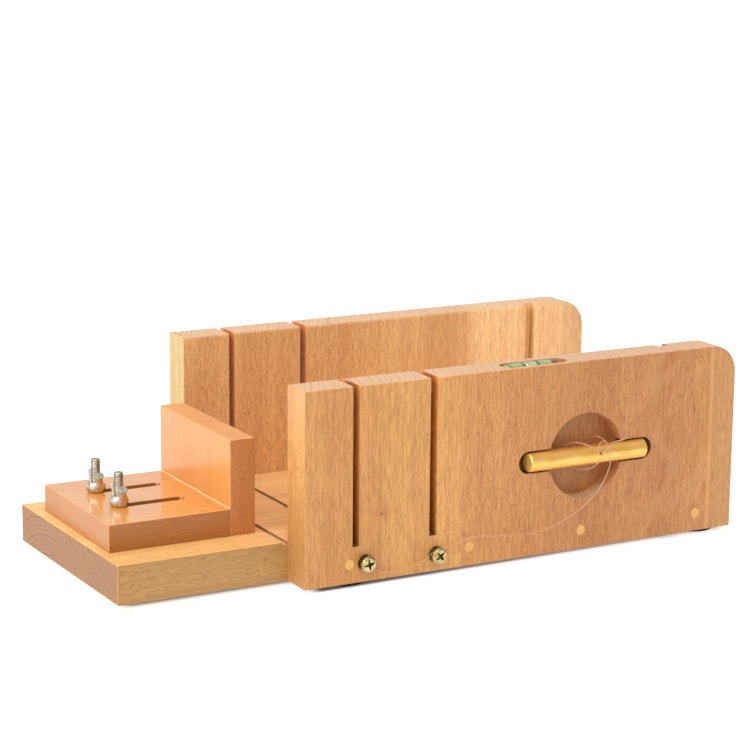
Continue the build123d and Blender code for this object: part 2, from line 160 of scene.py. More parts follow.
# ------------------------------------------------------------------------------ cutting wire
# The same route as the wire's solid, in metres.
WIRE_D = 0.0007
WIRE_ROUTE = [
    (-0.04410, -0.08060, 0.01170), (-0.04540, -0.08045, 0.01370), (-0.04747, -0.08030, 0.01530),
    (-0.05040, -0.08020, 0.01535), (-0.05210, -0.08020, 0.01275), (-0.05060, -0.08020, 0.00990),
    (-0.04640, -0.08030, 0.00880), (-0.04100, -0.08060, 0.00730), (-0.03400, -0.08090, 0.00610),
    (-0.02550, -0.08100, 0.00670), (-0.01850, -0.08060, 0.00860), (-0.01360, -0.08000, 0.01060),
    (-0.01115, -0.07968, 0.01293), (-0.00850, -0.07972, 0.01446), (-0.00585, -0.07986, 0.01293),
    (-0.00585, -0.08002, 0.00987), (-0.00850, -0.08018, 0.00834), (-0.01115, -0.08034, 0.00987),
    (-0.01115, -0.08050, 0.01293), (-0.00850, -0.08064, 0.01446), (-0.00490, -0.08080, 0.01450),
    (0.00040, -0.08100, 0.01560), (0.00700, -0.08130, 0.01810), (0.01550, -0.08170, 0.01860),
    (0.02700, -0.08220, 0.01710), (0.04100, -0.08280, 0.01590), (0.05500, -0.08340, 0.01740),
    (0.06750, -0.08400, 0.02190), (0.07870, -0.08460, 0.02870), (0.08630, -0.08500, 0.03660),
    (0.09090, -0.08480, 0.04420), (0.09250, -0.08440, 0.05080), (0.09170, -0.08360, 0.05640),
    (0.08980, -0.08270, 0.06020), (0.08750, -0.08060, 0.06200), (0.08730, -0.07720, 0.06190),
    (0.08820, -0.07390, 0.06070), (0.08840, -0.07130, 0.05890), (0.08790, -0.06985, 0.05640),
    (0.08760, -0.07125, 0.05362), (0.08763, -0.07560, 0.05378), (0.08757, -0.07990, 0.05362),
    (0.08760, -0.08450, 0.05374), (0.08485, -0.08545, 0.05105), (0.08330, -0.08390, 0.04790),
    (0.08090, -0.08070, 0.04540), (0.07780, -0.07660, 0.04470), (0.07470, -0.07300, 0.04630),
    (0.07240, -0.07080, 0.04970), (0.07140, -0.07050, 0.05400), (0.07150, -0.07280, 0.05760),
    (0.07260, -0.07660, 0.05990), (0.07470, -0.08060, 0.06050), (0.07750, -0.08360, 0.05970),
    (0.08030, -0.08490, 0.05800), (0.08300, -0.08500, 0.05590), (0.08630, -0.08490, 0.05490),
    (0.08930, -0.08495, 0.05620), (0.08990, -0.08500, 0.05920), (0.08760, -0.08510, 0.06110),
    (0.08480, -0.08530, 0.06050), (0.08350, -0.08580, 0.05760), (0.08600, -0.08600, 0.05510),
    (0.08920, -0.08600, 0.05660), (0.09180, -0.08570, 0.05920), (0.09540, -0.08530, 0.05990),
    (0.09940, -0.08480, 0.06020), (0.10330, -0.08440, 0.06090),
]


def nurbs_line(name, points, resolution=8):
    curve = bpy.data.curves.new(name, "CURVE")
    curve.dimensions = "3D"
    spline = curve.splines.new("NURBS")
    spline.points.add(len(points) - 1)
    for p, at in zip(spline.points, points):
        p.co = (*at, 1.0)
    spline.order_u = 3
    spline.use_endpoint_u = True
    spline.resolution_u = resolution
    o = bpy.data.objects.new(name, curve)
    scene.collection.objects.link(o)
    bpy.context.view_layer.update()
    mesh = bpy.data.meshes.new_from_object(o)
    line = [v.co.copy() for v in mesh.vertices]
    bpy.data.meshes.remove(mesh)
    bpy.data.objects.remove(o, do_unlink=True)
    return line


wire_line = nurbs_line("wire_line", WIRE_ROUTE)


# ---------------------------------------------------------------------------- material helpers
class Graph:
    """Short calls for building one material's nodes."""

    def __init__(self, name):
        self.mat = bpy.data.materials.new(name)
        self.mat.use_nodes = True
        self.tree = self.mat.node_tree
        self.tree.nodes.clear()
        self.out = self.tree.nodes.new("ShaderNodeOutputMaterial")

    def node(self, kind, **props):
        n = self.tree.nodes.new(kind)
        for k, v in props.items():
            setattr(n, k, v)
        return n

    def put(self, socket, value):
        if isinstance(value, bpy.types.NodeSocket):
            self.tree.links.new(value, socket)
        elif value is not None:
            socket.default_value = value

    def math(self, op, a, b=None, c=None, clamp=False):
        n = self.node("ShaderNodeMath", operation=op, use_clamp=clamp)
        self.put(n.inputs[0], a)
        self.put(n.inputs[1], b)
        self.put(n.inputs[2], c)
        return n.outputs[0]

    def step(self, value, low, high):
        n = self.node("ShaderNodeMapRange", interpolation_type="SMOOTHSTEP")
        self.put(n.inputs["Value"], value)
        self.put(n.inputs["From Min"], low)
        self.put(n.inputs["From Max"], high)
        return n.outputs["Result"]

    def linear(self, value, low, high, a=0.0, b=1.0):
        n = self.node("ShaderNodeMapRange", interpolation_type="LINEAR")
        self.put(n.inputs["Value"], value)
        self.put(n.inputs["From Min"], low)
        self.put(n.inputs["From Max"], high)
        self.put(n.inputs["To Min"], a)
        self.put(n.inputs["To Max"], b)
        return n.outputs["Result"]

    def combine(self, x, y, z):
        n = self.node("ShaderNodeCombineXYZ")
        for s, v in zip(n.inputs, (x, y, z)):
            self.put(s, v)
        return n.outputs[0]

    def noise(self, vector, scale=1.0, detail=2.0, rough=0.5, distortion=0.0):
        n = self.node("ShaderNodeTexNoise")
        self.put(n.inputs["Vector"], vector)
        self.put(n.inputs["Scale"], scale)
        self.put(n.inputs["Detail"], detail)
        self.put(n.inputs["Roughness"], rough)
        self.put(n.inputs["Distortion"], distortion)
        return n.outputs["Fac"]

    def voronoi(self, vector, randomness=1.0, feature="F1"):
        n = self.node("ShaderNodeTexVoronoi", feature=feature)
        self.put(n.inputs["Vector"], vector)
        self.put(n.inputs["Scale"], 1.0)
        self.put(n.inputs["Randomness"], randomness)
        return n

    def mix(self, factor, a, b, blend="MIX"):
        n = self.node("ShaderNodeMix", data_type="RGBA", blend_type=blend)
        self.put(n.inputs[0], factor)
        self.put(n.inputs[6], a if isinstance(a, bpy.types.NodeSocket) else (*a, 1))
        self.put(n.inputs[7], b if isinstance(b, bpy.types.NodeSocket) else (*b, 1))
        return n.outputs[2]

    def object_mm(self):
        """Object coordinates in millimetres, as three sockets."""
        n = self.node("ShaderNodeTexCoord")
        s = self.node("ShaderNodeSeparateXYZ")
        self.put(s.inputs[0], n.outputs["Object"])
        return [self.math("MULTIPLY", s.outputs[i], 1000.0) for i in range(3)]

    def normal_parts(self):
        n = self.node("ShaderNodeTexCoord")
        s = self.node("ShaderNodeSeparateXYZ")
        self.put(s.inputs[0], n.outputs["Normal"])
        return [self.math("ABSOLUTE", s.outputs[i]) for i in range(3)], s.outputs

    def bump(self, height, strength, distance=0.0002):
        n = self.node("ShaderNodeBump")
        self.put(n.inputs["Strength"], strength)
        self.put(n.inputs["Distance"], distance)
        self.put(n.inputs["Height"], height)
        return n.outputs[0]

    def principled(self, **values):
        n = self.node("ShaderNodeBsdfPrincipled")
        for k, v in values.items():
            k = k.replace("_", " ")
            if isinstance(v, tuple) and len(v) == 3:
                v = (*v, 1)
            self.put(n.inputs[k], v)
        self.tree.links.new(n.outputs[0], self.out.inputs["Surface"])
        return n


def lin(r, g, b):
    """sRGB 0 to 255 to linear."""
    def one(c):
        c /= 255.0
        return c / 12.92 if c <= 0.04045 else ((c + 0.055) / 1.055) ** 2.4
    return (one(r), one(g), one(b))


def edge_normal(g, radius):
    """(rounded normal, how far it is from the plain one) near the arrises."""
    soft = g.node("ShaderNodeBevel", samples=4)
    soft.inputs["Radius"].default_value = radius
    geo = g.node("ShaderNodeNewGeometry")
    dot = g.node("ShaderNodeVectorMath", operation="DOT_PRODUCT")
    g.put(dot.inputs[0], soft.outputs[0])
    g.put(dot.inputs[1], geo.outputs["Normal"])
    return soft.outputs[0], g.math("SUBTRACT", 1.0, dot.outputs["Value"], clamp=True)


def bump_on(g, height, strength, normal, distance=0.0002):
    n = g.node("ShaderNodeBump")
    g.put(n.inputs["Strength"], strength)
    g.put(n.inputs["Distance"], distance)
    g.put(n.inputs["Height"], height)
    g.put(n.inputs["Normal"], normal)
    return n.outputs[0]


def beech(name, grain, light, dark, fleck, seams=(), pith=(0.0, -60.0), stave_pith=(), ring=2.8, ring_depth=0.25, end_ring=0.5,
          dash=(1.5, 10.0, 0.55), crowd=(0.15, 0.7), dash_zone=None, streak=0.5, fibre=0.4, band=0.5, waver=5.0, wiggle=1.0, zones=(), knots=(), figure=None,
          face_light_gains=((1, 1, 1), (1, 1, 1), (1, 1, 1)), deep="v", flecked=(0.15, 1.0, 0.15), along=None, back=None, far_end_light=None, calm_from=None, shade_towards_bottom=None, slot=None, cut_shade=(), end_tint=None, end_mix=0.7, seam_line_and_highlight=(), gloss=0.45, coat=(0.0, 0.0, 0.0),
          coat_rough=0.1, bump=0.10, wear_and_highlight=0.35, wear_and_highlight_tint=(0.95, 0.72, 0.45), bevel=0.00035):
    """Planed beech. grain is the axis that the fibres run along; u is the first other axis and v the second.
    seams: places along u where one stave is glued to the next. zones: (from, to, softness, multiplier) along u.
    knots: (u, w, half width, half length, strength, halo). face_light_gains: colour multipliers on the u, v and end
    faces, painted light and shade for each face direction.
    deep: the axis along which the rays run into the wood. flecked: how much they show on the u, v and end faces."""
    g = Graph(name)
    xyz = g.object_mm()
    axes = {"X": (1, 2, 0), "Y": (0, 2, 1), "Z": (0, 1, 2)}[grain]
    u, v, w = (xyz[i] for i in axes)
    mul, add, sub = (lambda a, b: g.math("MULTIPLY", a, b)), (lambda a, b: g.math("ADD", a, b)), (lambda a, b: g.math("SUBTRACT", a, b))
    un, vn, wn = u, v, w
    pu0, pv0 = pith
    pu, pv = sub(u, pu0), sub(v, pv0)
    for i, s in enumerate(seams):
        edge = g.math("GREATER_THAN", u, s)
        un, vn, wn = add(un, mul(edge, 37.7)), add(vn, mul(edge, 23.7)), add(wn, mul(edge, 171.3))
        if i < len(stave_pith):
            pu, pv = sub(pu, mul(edge, stave_pith[i][0])), sub(pv, mul(edge, stave_pith[i][1]))
    slow = g.noise(g.combine(mul(un, 0.03), mul(vn, 0.03), mul(wn, 0.017)), 1.0, 2.0, 0.5)
    quick = g.noise(g.combine(mul(un, 0.22), mul(vn, 0.22), mul(wn, 0.17)), 1.0, 1.0, 0.5)
    drift = add(mul(sub(slow, 0.5), waver), mul(sub(quick, 0.5), wiggle))
    uu = add(un, drift)
    # growth rings about the pith
    ru = add(pu, mul(drift, 0.3))
    radius = g.math("SQRT", add(mul(ru, ru), mul(pv, pv)))
    wobble = g.noise(g.combine(mul(un, 0.03), mul(vn, 0.03), mul(wn, 0.008)), 1.0, 1.0, 0.5)
    radius = add(radius, mul(wobble, 5.0))
    uneven = g.noise(g.combine(mul(radius, 0.12), 0.0, 0.0), 1.0, 2.0, 0.6)
    saw = g.math("FRACT", add(g.math("DIVIDE", radius, ring), mul(uneven, 3.5)))
    late = mul(g.step(saw, 0.55, 0.93), g.step(saw, 1.0, 0.97))
    line = mul(g.step(saw, 0.80, 0.95), g.step(saw, 1.0, 0.97))
    # colour bands, streaks and fibres along the grain
    broad = g.step(g.noise(g.combine(mul(uu, 0.06), mul(vn, 0.03), mul(wn, 0.003)), 1.0, 2.0, 0.5), 0.35, 0.65)
    soft = g.step(g.noise(g.combine(mul(uu, 0.55), mul(vn, 0.4), mul(wn, 0.008)), 1.0, 3.0, 0.6), 0.3, 0.72)
    fine = g.noise(g.combine(mul(uu, 2.3), mul(vn, 2.3), mul(wn, 0.15)), 1.0, 3.0, 0.65)
    parts, _ = g.normal_parts()
    on_u, on_end = g.step(parts[axes[0]], 0.7, 0.95), g.step(parts[axes[2]], 0.7, 0.95)
    # the short dark dashes of the rays, in two sizes
    def rays(wide, long, shift, low, high, near):
        side, into = (add(uu, shift), v) if deep == "v" else (add(add(vn, drift), shift), u)
        cell = g.voronoi(g.combine(g.math("DIVIDE", side, wide), g.math("DIVIDE", into, 40.0), g.math("DIVIDE", add(wn, shift * 1.7), long)))
        pick = g.node("ShaderNodeSeparateColor")
        g.put(pick.inputs[0], cell.outputs["Color"])
        return mul(g.math("SUBTRACT", 1.0, g.step(cell.outputs["Distance"], near * 0.35, near)), g.step(pick.outputs[0], low, high))
    dashes = add(rays(dash[0], dash[1], 0.0, crowd[0], crowd[1], 0.31), mul(rays(dash[0] * 0.62, dash[1] * 0.55, 31.7, 0.3, 0.9, 0.30), 0.65))
    dashes = g.math("MINIMUM", dashes, 1.0)
    strength = dash[2]
    if dash_zone is not None:
        low, high, floor_level = dash_zone
        strength = g.linear(g.step(u, low, high), 0.0, 1.0, dash[2] * floor_level, dash[2])
    on_v = g.step(parts[axes[1]], 0.7, 0.95)
    visible = add(add(mul(on_u, flecked[0]), mul(on_v, flecked[1])), mul(on_end, flecked[2]))
    dashes = mul(dashes, mul(visible, strength))
    if calm_from is not None:
        dashes = mul(dashes, g.linear(g.math("GREATER_THAN", u, calm_from), 0.0, 1.0, 1.0, 0.12))

    colour = g.mix(mul(broad, band), light, dark)
    colour = g.mix(mul(soft, streak), colour, dark)
    colour = g.mix(mul(late, ring_depth), colour, dark)
    colour = g.mix(mul(g.math("SUBTRACT", fine, 0.42, clamp=True), fibre), colour, fleck)
    colour = g.mix(mul(g.math("SUBTRACT", 0.48, fine, clamp=True), fibre * 0.8), colour, tuple(min(1.0, c * 1.25) for c in light))
    if figure is not None:
        low, high, stop, amount = figure
        flame = g.noise(g.combine(add(mul(sub(mul(un, 1.3), wn), 0.04), mul(drift, 0.10)), mul(add(un, wn), 0.016), mul(vn, 0.01)), 1.0, 1.0, 0.5)
        flame = mul(g.step(flame, 0.48, 0.56), g.step(flame, 0.68, 0.57))
        colour = g.mix(mul(mul(flame, mul(g.step(u, low, high), g.math("LESS_THAN", u, stop))), amount), colour, lin(236, 184, 136))
    colour = g.mix(dashes, colour, fleck)
    for low, high, edge, factor, *limit in zones:
        inside = mul(g.step(u, low - edge, low + edge), g.step(u, high + edge, high - edge))
        if limit:
            inside = mul(inside, g.math("LESS_THAN", v, limit[0]))
        colour = g.mix(inside, colour, factor, "MULTIPLY")
    # lines along the stave seams: the dark one on the base is the joint's own colour; the pale bands on the walls are
    # partly a paler glue line and partly painted highlight
    for s, wide, tint in seam_line_and_highlight:
        near = g.math("SUBTRACT", 1.0, g.step(g.math("ABSOLUTE", sub(u, s)), wide * 0.4, wide))
        colour = g.mix(mul(near, tint[3]), colour, tint[:3])
    for ku, kw, hu, hw, amount, halo in knots:
        du, dw = g.math("DIVIDE", sub(u, ku), hu), g.math("DIVIDE", sub(w, kw), hw)
        far = g.math("SQRT", add(mul(du, du), mul(dw, dw)))
        if halo:
            colour = g.mix(mul(g.math("SUBTRACT", 1.0, g.step(far, 1.0, halo)), 0.45), colour, tuple(a * b for a, b in zip(dark, (0.95, 0.75, 0.7))))
        colour = g.mix(mul(g.math("SUBTRACT", 1.0, g.step(far, 0.45, 1.0)), amount), colour, tuple(c * 0.6 for c in fleck))
    if end_tint is not None:
        colour = g.mix(mul(on_end, end_mix), colour, end_tint)
        colour = g.mix(mul(mul(on_end, line), end_ring), colour, fleck)
    # painted light and shade: each face direction takes its own colour multiplier
    for mask, face_light in zip((on_u, on_v, on_end), face_light_gains):
        if tuple(face_light) != (1, 1, 1):
            colour = g.mix(mask, colour, face_light, "MULTIPLY")
    if back is not None:
        # painted light and shade: the face of the board that turns the other way takes its own colour multiplier
        colour = g.mix(mul(on_v, g.math("GREATER_THAN", v, back[0])), colour, back[1], "MULTIPLY")
    # painted light: the far end face of the board brightened against the shade it stands in
    if far_end_light is not None:
        colour = g.mix(mul(on_end, g.math("GREATER_THAN", w, far_end_light[0])), colour, far_end_light[1], "MULTIPLY")
    if along is not None:
        # painted light and shade: the stretch of the v face past this point along the grain takes its own colour
        # multiplier
        low, high, factor = along
        colour = g.mix(mul(on_v, g.step(w, low, high)), colour, factor, "MULTIPLY")
    # painted shade: the u faces darker towards the bottom
    if shade_towards_bottom is not None:
        high, low, factor = shade_towards_bottom
        colour = g.mix(mul(on_u, g.step(w, high, low)), colour, factor, "MULTIPLY")
    for low, high, shallow, far_in, face_a, face_b in cut_shade:
        # painted shade in a saw cut: its walls darker away from both faces of the board and its floor much darker; a
        # factor above one is painted light
        within = mul(g.math("GREATER_THAN", u, low), g.math("LESS_THAN", u, high))
        depth = g.math("MINIMUM", sub(v, face_a), sub(face_b, v))
        shade = g.mix(g.linear(depth, 0.3, 5.5), shallow, far_in)
        colour = g.mix(mul(on_u, within), colour, shade, "MULTIPLY")
        colour = g.mix(mul(mul(on_end, within), g.math("LESS_THAN", w, 90.0)), colour, (0.3, 0.18, 0.1), "MULTIPLY")
    if slot is not None:
        # shade gathered in the rod's slot, outside the finger pocket
        x0, x1, z0, half, px, pr, depth = slot
        du, dw = sub(u, px), sub(w, z0)
        outside = g.step(g.math("SQRT", add(mul(du, du), mul(dw, dw))), pr - 0.1, pr + 0.6)
        inside = mul(mul(g.step(v, depth, depth + 1.5), g.step(v, depth + 9.0, depth + 8.0)), g.math("LESS_THAN", g.math("ABSOLUTE", dw), half))
        inside = mul(mul(inside, outside), mul(g.math("GREATER_THAN", u, x0), g.math("LESS_THAN", u, x1)))
        colour = g.mix(inside, colour, (0.36, 0.28, 0.2), "MULTIPLY")
    rounded, arris = edge_normal(g, bevel)
    # pale arrises: partly edge wear, partly painted highlight along the edges
    worn_and_lit_arris = mul(g.step(arris, 0.01, 0.16), g.linear(g.noise(g.combine(mul(u, 0.3), mul(v, 0.3), mul(w, 0.3)), 1.0, 2.0, 0.5), 0.3, 0.7, 0.3, 1.0))
    colour = g.mix(mul(worn_and_lit_arris, wear_and_highlight), colour, wear_and_highlight_tint)
    height = sub(fine, mul(dashes, 1.2))
    rough = g.linear(fine, 0.2, 0.8, gloss - 0.05, gloss + 0.08)
    rough = add(rough, mul(on_end, 0.12))
    shader = g.principled(Base_Color=colour, Roughness=rough, Normal=bump_on(g, height, bump, rounded))
    shader.inputs["IOR"].default_value = 1.5
    if any(coat):
        g.put(shader.inputs["Coat Weight"], add(add(mul(on_u, coat[0]), mul(on_v, coat[1])), mul(on_end, coat[2])))
        shader.inputs["Coat Roughness"].default_value = coat_rough
        g.put(shader.inputs["Coat Normal"], rounded)
    return g.mat


wall_light, wall_dark, wall_fleck = lin(224, 169, 108), lin(198, 134, 80), lin(138, 72, 32)
# painted shade in the two saw cuts and the groove of a wall
def saw_cut_shade(face_a, face_b, shallow, deep):
    return ((-60.0, -50.0, shallow, deep, face_a, face_b), (-14.0, -6.0, shallow, deep, face_a, face_b),
            (132.0, 142.0, (0.95, 0.86, 0.8), (0.8, 0.7, 0.62), face_a, face_b))


front_cut_shade = saw_cut_shade(-78.5, -59.5, (1.15, 1.0, 0.72), (0.66, 0.38, 0.13))
rear_cut_shade = saw_cut_shade(66.0, 85.0, (1.32, 0.84, 0.5), (0.98, 0.44, 0.13)) + ((170.0, 176.0, (0.98, 0.76, 0.66), (0.98, 0.76, 0.66), 66.0, 85.0),)
front_wood = beech(
    "front_wall_beech", "Z", wall_light, wall_dark, wall_fleck, seams=(159.5,), pith=(-283.0, 29.0), stave_pith=((-120.0, 0.0),), ring=3.1, end_ring=0.36,
    dash=(0.6, 4.4, 0.85), dash_zone=(-14.0, 12.0, 0.45), crowd=(0.0, 0.5), figure=(95.0, 125.0, 159.4, 0.24), wiggle=1.7, fibre=1.7, calm_from=159.5,
    zones=((-52.0, -12.5, 2.0, (1.03, 1.07, 1.06)), (-8.5, 7.0, 2.0, (1.12, 1.16, 1.2)), (7.0, 159.5, 1.5, (1.03, 1.02, 1.1)), (50.0, 159.5, 25.0, (0.83, 0.77, 0.79)),
           (159.5, 180.0, 0.05, (1.02, 1.1, 1.36))),
    knots=((-40.0, 36.5, 1.5, 1.2, 0.55, 4.5), (149.0, 70.0, 0.55, 3.2, 0.75, 0.0)),
    seam_line_and_highlight=((159.8, 1.7, (*lin(238, 178, 128), 0.38)),), slot=(39.8, 122.2, 52.5, 6.1, 80.9, 22.7, -78.4), cut_shade=front_cut_shade, back=(-60.5, (1.25, 1.32, 1.5)),
    face_light_gains=((1.0, 1.0, 0.9), (0.84, 0.79, 0.58), (0.87, 0.84, 0.78)), shade_towards_bottom=(75.0, 10.0, (0.7, 0.66, 0.54)),
    end_tint=lin(228, 190, 158), end_mix=0.75)
rear_wood = beech(
    "rear_wall_beech", "Z", wall_light, wall_dark, wall_fleck, seams=(56.0, 95.5, 157.1), pith=(-250.0, 200.0), stave_pith=((-60.0, 10.0), (50.0, 0.0), (-90.0, 0.0)), ring=3.0, end_ring=0.36,
    dash=(0.6, 4.4, 0.85), dash_zone=(60.0, 30.0, 0.3), crowd=(0.0, 0.5), wiggle=1.7, fibre=1.5, calm_from=157.1,
    zones=((-90.0, 20.0, 10.0, (0.92, 0.88, 0.86)), (95.5, 157.1, 3.0, (1.24, 1.42, 1.64), 84.0), (157.1, 180.0, 0.05, (1.0, 1.06, 1.2), 84.0)),
    seam_line_and_highlight=((157.3, 1.2, (*lin(238, 180, 128), 0.4)),), face_light_gains=((1.02, 1.45, 1.6), (1.19, 1.38, 1.5), (0.92, 0.9, 0.85)), cut_shade=rear_cut_shade, back=(84.0, (0.92, 0.86, 0.8)),
    end_tint=lin(228, 190, 158), end_mix=0.75)
base_wood = beech(
    "base_beech", "X", lin(232, 176, 110), lin(208, 146, 84), lin(140, 84, 44), seams=(-25.0,), pith=(-5.0, -34.0), stave_pith=((30.0, -11.0),), ring=2.7,
    ring_depth=0.2, end_ring=0.85, dash=(0.62, 6.5, 0.8), crowd=(0.0, 0.5), streak=0.55, fibre=1.25, deep="u", flecked=(1.0, 0.25, 0.15), zones=((-80.0, -25.0, 0.05, (0.92, 0.9, 0.86)),), along=(-92.0, -88.0, (0.98, 0.94, 1.02)), far_end_light=(0.0, (1.45, 1.45, 1.45)),
    face_light_gains=((0.63, 0.68, 0.61), (1.24, 1.4, 1.5), (0.49, 0.45, 0.38)),
    seam_line_and_highlight=((-25.0, 0.35, (*lin(150, 94, 58), 0.35)),), end_tint=lin(212, 162, 122), end_mix=0.75, waver=4.0)
stop_light, stop_dark, stop_fleck = lin(240, 176, 112), lin(220, 148, 84), lin(150, 80, 36)
plate_wood = beech(
    "stop_plate_beech", "X", stop_light, stop_dark, stop_fleck, pith=(20.0, -90.0), dash=(1.0, 8.0, 0.6), streak=0.35, fibre=0.7, deep="u", flecked=(1.0, 0.15, 0.1), ring_depth=0.15, end_ring=0.1,
    face_light_gains=((0.44, 0.33, 0.16), (0.88, 0.75, 0.34), (0.57, 0.51, 0.44)),
    gloss=0.4, coat=(0.1, 1.0, 0.15), coat_rough=0.16, end_tint=lin(240, 176, 118), end_mix=0.6, bump=0.03, wear_and_highlight=0.3, wear_and_highlight_tint=(1.0, 0.62, 0.32))
upright_wood = beech(
    "stop_upright_beech", "Z", stop_light, stop_dark, stop_fleck, pith=(-60.0, 70.0), cut_shade=((-90.5, -89.0, (1.0, 1.05, 1.35), (1.0, 1.05, 1.35), -38.0, 48.0),), dash=(0.62, 5.0, 0.75), crowd=(0.0, 0.55), streak=0.4, fibre=0.7, flecked=(0.12, 1.0, 0.1), ring_depth=0.15, ring=6.5, end_ring=0.2,
    face_light_gains=((0.92, 0.82, 0.46), (0.58, 0.47, 0.34), (0.92, 0.86, 0.66)),
    gloss=0.4, coat=(0.4, 0.1, 0.15), coat_rough=0.14, end_tint=lin(226, 158, 112), end_mix=0.7, bump=0.03, wear_and_highlight=0.3, wear_and_highlight_tint=(1.0, 0.62, 0.32))


def plain(name, colour, rough, metallic=0.0, grain=0.06, scale=900.0, bevel=0.0, **extra):
    g = Graph(name)
    t = g.node("ShaderNodeTexCoord")
    n = g.noise(t.outputs["Object"], scale, 3.0, 0.6)
    c = g.mix(n, tuple(x * (1 - grain) for x in colour), tuple(min(1.0, x * (1 + grain)) for x in colour))
    r = g.linear(n, 0.3, 0.7, max(0.02, rough - 0.05), rough + 0.05)
    normal = bump_on(g, n, 0.05, edge_normal(g, bevel)[0], 0.00005) if bevel else g.bump(n, 0.05, 0.00005)
    s = g.principled(Base_Color=c, Roughness=r, Normal=normal)
    s.inputs["Metallic"].default_value = metallic
    for k, v in extra.items():
        s.inputs[k.replace("_", " ")].default_value = v
    return g.mat


def nickel_plate(name, pale, warm, dark, amount):
    """Warm nickel with a faint yellow bloom and fine darker marks."""
    g = Graph(name)
    x, y, z = g.object_mm()
    cloud = g.noise(g.combine(g.math("MULTIPLY", x, 0.35), g.math("MULTIPLY", y, 0.35), g.math("MULTIPLY", z, 0.35)), 1.0, 2.0, 0.5)
    mark = g.noise(g.combine(g.math("MULTIPLY", x, 6.0), g.math("MULTIPLY", y, 6.0), g.math("MULTIPLY", z, 1.5)), 1.0, 3.0, 0.7)
    colour = g.mix(g.step(cloud, 0.35, 0.65), pale, warm)
    colour = g.mix(g.math("MULTIPLY", g.step(mark, 0.48, 0.7), amount), colour, dark)
    rounded, _ = edge_normal(g, 0.0003)
    s = g.principled(Base_Color=colour, Roughness=g.linear(mark, 0.3, 0.7, 0.22, 0.36), Normal=bump_on(g, mark, 0.05, rounded, 0.00005))
    s.inputs["Metallic"].default_value = 1.0
    return g.mat


def screw_plate():
    """Pale passivated zinc, with painted shade inside the cross recess."""
    g = Graph("yellow_zinc")
    x, y, z = g.object_mm()
    second = g.math("GREATER_THAN", x, -28.0)
    dx = g.math("SUBTRACT", x, g.linear(second, 0.0, 1.0, -49.0, -8.5))
    dz = g.math("SUBTRACT", z, g.linear(second, 0.0, 1.0, 12.6, 11.4))
    off = g.math("SQRT", g.math("ADD", g.math("MULTIPLY", dx, dx), g.math("MULTIPLY", dz, dz)))
    deep = g.math("MULTIPLY", g.step(off, 3.1, 2.8), g.step(y, -83.3, -82.8))
    cloud = g.noise(g.combine(g.math("MULTIPLY", x, 0.5), g.math("MULTIPLY", y, 0.5), g.math("MULTIPLY", z, 0.5)), 1.0, 2.0, 0.5)
    colour = g.mix(g.step(cloud, 0.35, 0.65), lin(200, 188, 142), lin(164, 150, 92))
    side = g.step(y, -82.6, -81.6)
    colour = g.mix(g.math("MULTIPLY", side, 0.5), colour, lin(128, 122, 72))
    # painted shade inside the cross recess
    colour = g.mix(deep, colour, lin(104, 84, 34))
    rounded, _ = edge_normal(g, 0.0002)
    s = g.principled(Base_Color=colour, Roughness=g.linear(cloud, 0.3, 0.7, 0.2, 0.34), Normal=rounded)
    s.inputs["Metallic"].default_value = 1.0
    return g.mat


def turned_brass():
    """Satin brass bar with fine turning lines, dull on its sawn ends."""
    g = Graph("turned_brass")
    x, y, z = g.object_mm()
    lines = g.noise(g.combine(g.math("MULTIPLY", x, 7.0), g.math("MULTIPLY", y, 0.3), g.math("MULTIPLY", z, 0.3)), 1.0, 3.0, 0.7)
    cloud = g.noise(g.combine(g.math("MULTIPLY", x, 0.08), g.math("MULTIPLY", y, 0.3), g.math("MULTIPLY", z, 0.3)), 1.0, 2.0, 0.5)
    colour = g.mix(g.step(cloud, 0.35, 0.65), lin(252, 203, 116), lin(243, 188, 96))
    colour = g.mix(g.math("MULTIPLY", g.step(lines, 0.52, 0.8), 0.25), colour, lin(200, 140, 60))
    parts, _ = g.normal_parts()
    cut = g.step(parts[0], 0.8, 0.97)
    colour = g.mix(cut, colour, lin(206, 164, 84))
    s = g.principled(Base_Color=colour, Roughness=g.linear(lines, 0.3, 0.7, 0.40, 0.5), Normal=g.bump(lines, 0.10, 0.00005))
    g.put(s.inputs["Metallic"], g.linear(cut, 0.0, 1.0, 0.85, 0.25))
    return g.mat


def dowel_end():
    """Birch dowel: pale, with faint rings and specks on the cut end."""
    g = Graph("dowel_end_grain")
    x, y, z = g.object_mm()
    n = g.noise(g.combine(g.math("MULTIPLY", x, 1.6), g.math("MULTIPLY", y, 0.1), g.math("MULTIPLY", z, 1.6)), 1.0, 3.0, 0.6)
    bands = g.noise(g.combine(g.math("ADD", g.math("MULTIPLY", x, 0.9), g.math("MULTIPLY", z, 0.35)), 0.0, 0.0), 1.0, 1.0, 0.5)
    colour = g.mix(g.step(n, 0.3, 0.7), lin(222, 174, 92), lin(206, 152, 70))
    colour = g.mix(g.math("MULTIPLY", g.step(bands, 0.45, 0.7), 0.35), colour, lin(204, 148, 76))
    g.principled(Base_Color=colour, Roughness=0.5, Normal=g.bump(n, 0.08, 0.0001))
    return g.mat


